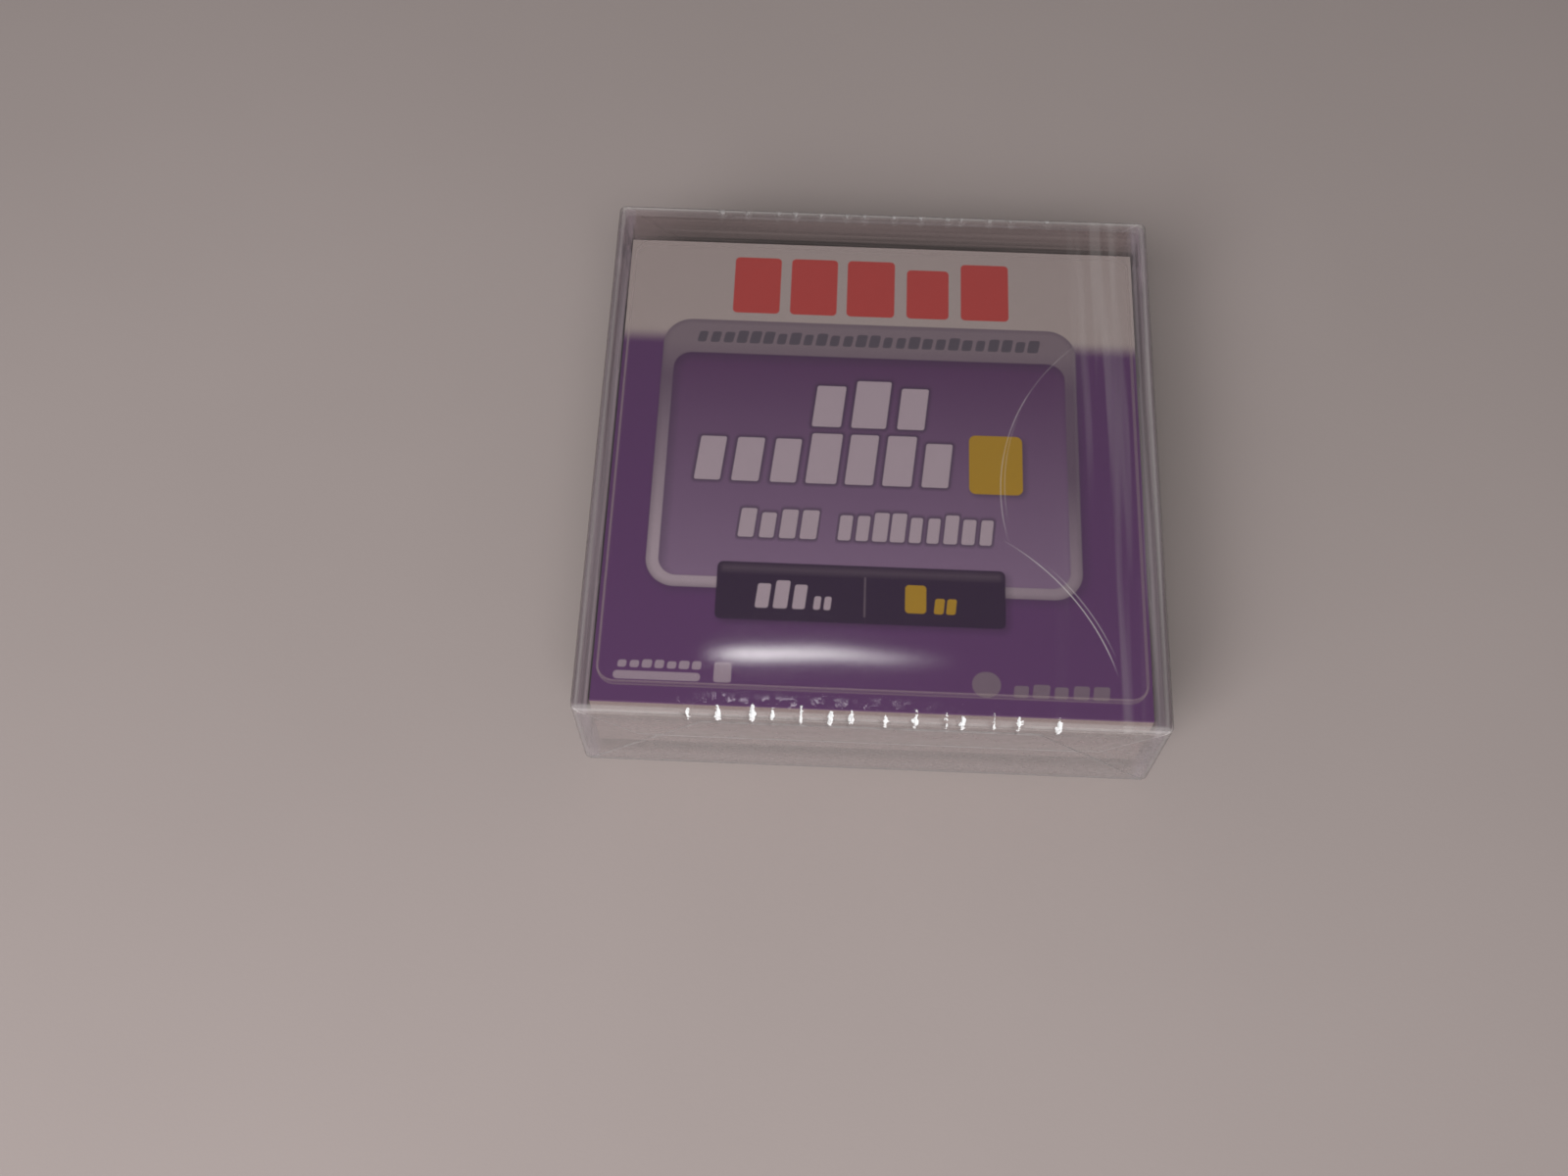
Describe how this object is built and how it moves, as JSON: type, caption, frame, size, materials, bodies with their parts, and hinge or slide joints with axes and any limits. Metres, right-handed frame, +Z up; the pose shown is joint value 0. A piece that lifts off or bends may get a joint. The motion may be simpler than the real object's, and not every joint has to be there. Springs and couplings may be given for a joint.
{
  "type": "data tape cartridge",
  "caption": "Half-inch data tape cartridge with reel, brake, leader pin and sliding door, sealed in a clear hinged case with a printed card and film overwrap.",
  "frame": {"origin": "under the middle of the pack, on the flat underside of the overwrap film", "axes": "+Z up, -Y to the case's opening edge and the cartridge's label face, +Y to the case's hinge, +X to the side of the cartridge's access door"},
  "size_m": [0.1137, 0.1174, 0.0273],
  "materials": {
    "film": "gloss",
    "clear_case": "gloss",
    "printed_card": "satin",
    "shell_black": "matte",
    "reel_grey": "satin",
    "reel_clear": "gloss",
    "tape": "satin",
    "steel": "satin",
    "acetal_white": "satin",
    "door_grey": "satin",
    "leader": "gloss",
    "chip_board": "satin",
    "switch_red": "satin",
    "screw": "satin"
  },
  "bodies": {
    "pack": {"overwrap_film": "film", "case_base": "clear_case", "case_lid": "clear_case", "insert_card": "printed_card", "cartridge_lower_shell": "shell_black", "cartridge_upper_shell": "shell_black", "brake_spring": "steel", "door_spring": "steel", "leader_pin": "steel", "pin_tape_clip": "acetal_white", "leader_tape": "leader", "pin_retainer": "steel", "memory_chip": "chip_board", "shell_screw_1": "screw", "shell_screw_2": "screw", "shell_screw_3": "screw", "shell_screw_4": "screw"},
    "reel": {"reel_hub": "reel_grey", "reel_upper_flange": "reel_clear", "tape_pack": "tape", "clutch_plate": "steel"},
    "brake": {"brake_button": "acetal_white"},
    "spider": {"release_spider": "acetal_white"},
    "door": {"access_door": "door_grey"},
    "switch": {"write_protect_switch": "switch_red"}
  },
  "joints": [
    {"name": "reel_spin", "type": "hinge", "parent": "pack", "child": "reel", "pos_m": [0, -0.0022, 0.01], "axis": [0, 0, 1], "continuous": true, "deforming": ["leader_tape"]},
    {"name": "brake_lift", "type": "slide", "parent": "pack", "child": "brake", "axis": [0, 0, 1], "range_m": [0, 0.0016], "stiffness_N_per_m": 400, "springref_m": -0.008, "deforming": ["brake_spring"]},
    {"name": "spider_lift", "type": "slide", "parent": "reel", "child": "spider", "axis": [0, 0, 1], "range_m": [0, 0.0016]},
    {"name": "door_slide", "type": "slide", "parent": "pack", "child": "door", "axis": [0, -1, 0], "range_m": [0, 0.0184], "stiffness_N_per_m": 30, "springref_m": -0.015, "deforming": ["door_spring"]},
    {"name": "write_protect_slide", "type": "slide", "parent": "pack", "child": "switch", "axis": [1, 0, 0], "range_m": [0, 0.005]}
  ],
  "couplings": [
    {"joint": "spider_lift", "follows": "brake_lift", "ratio": 1}
  ]
}
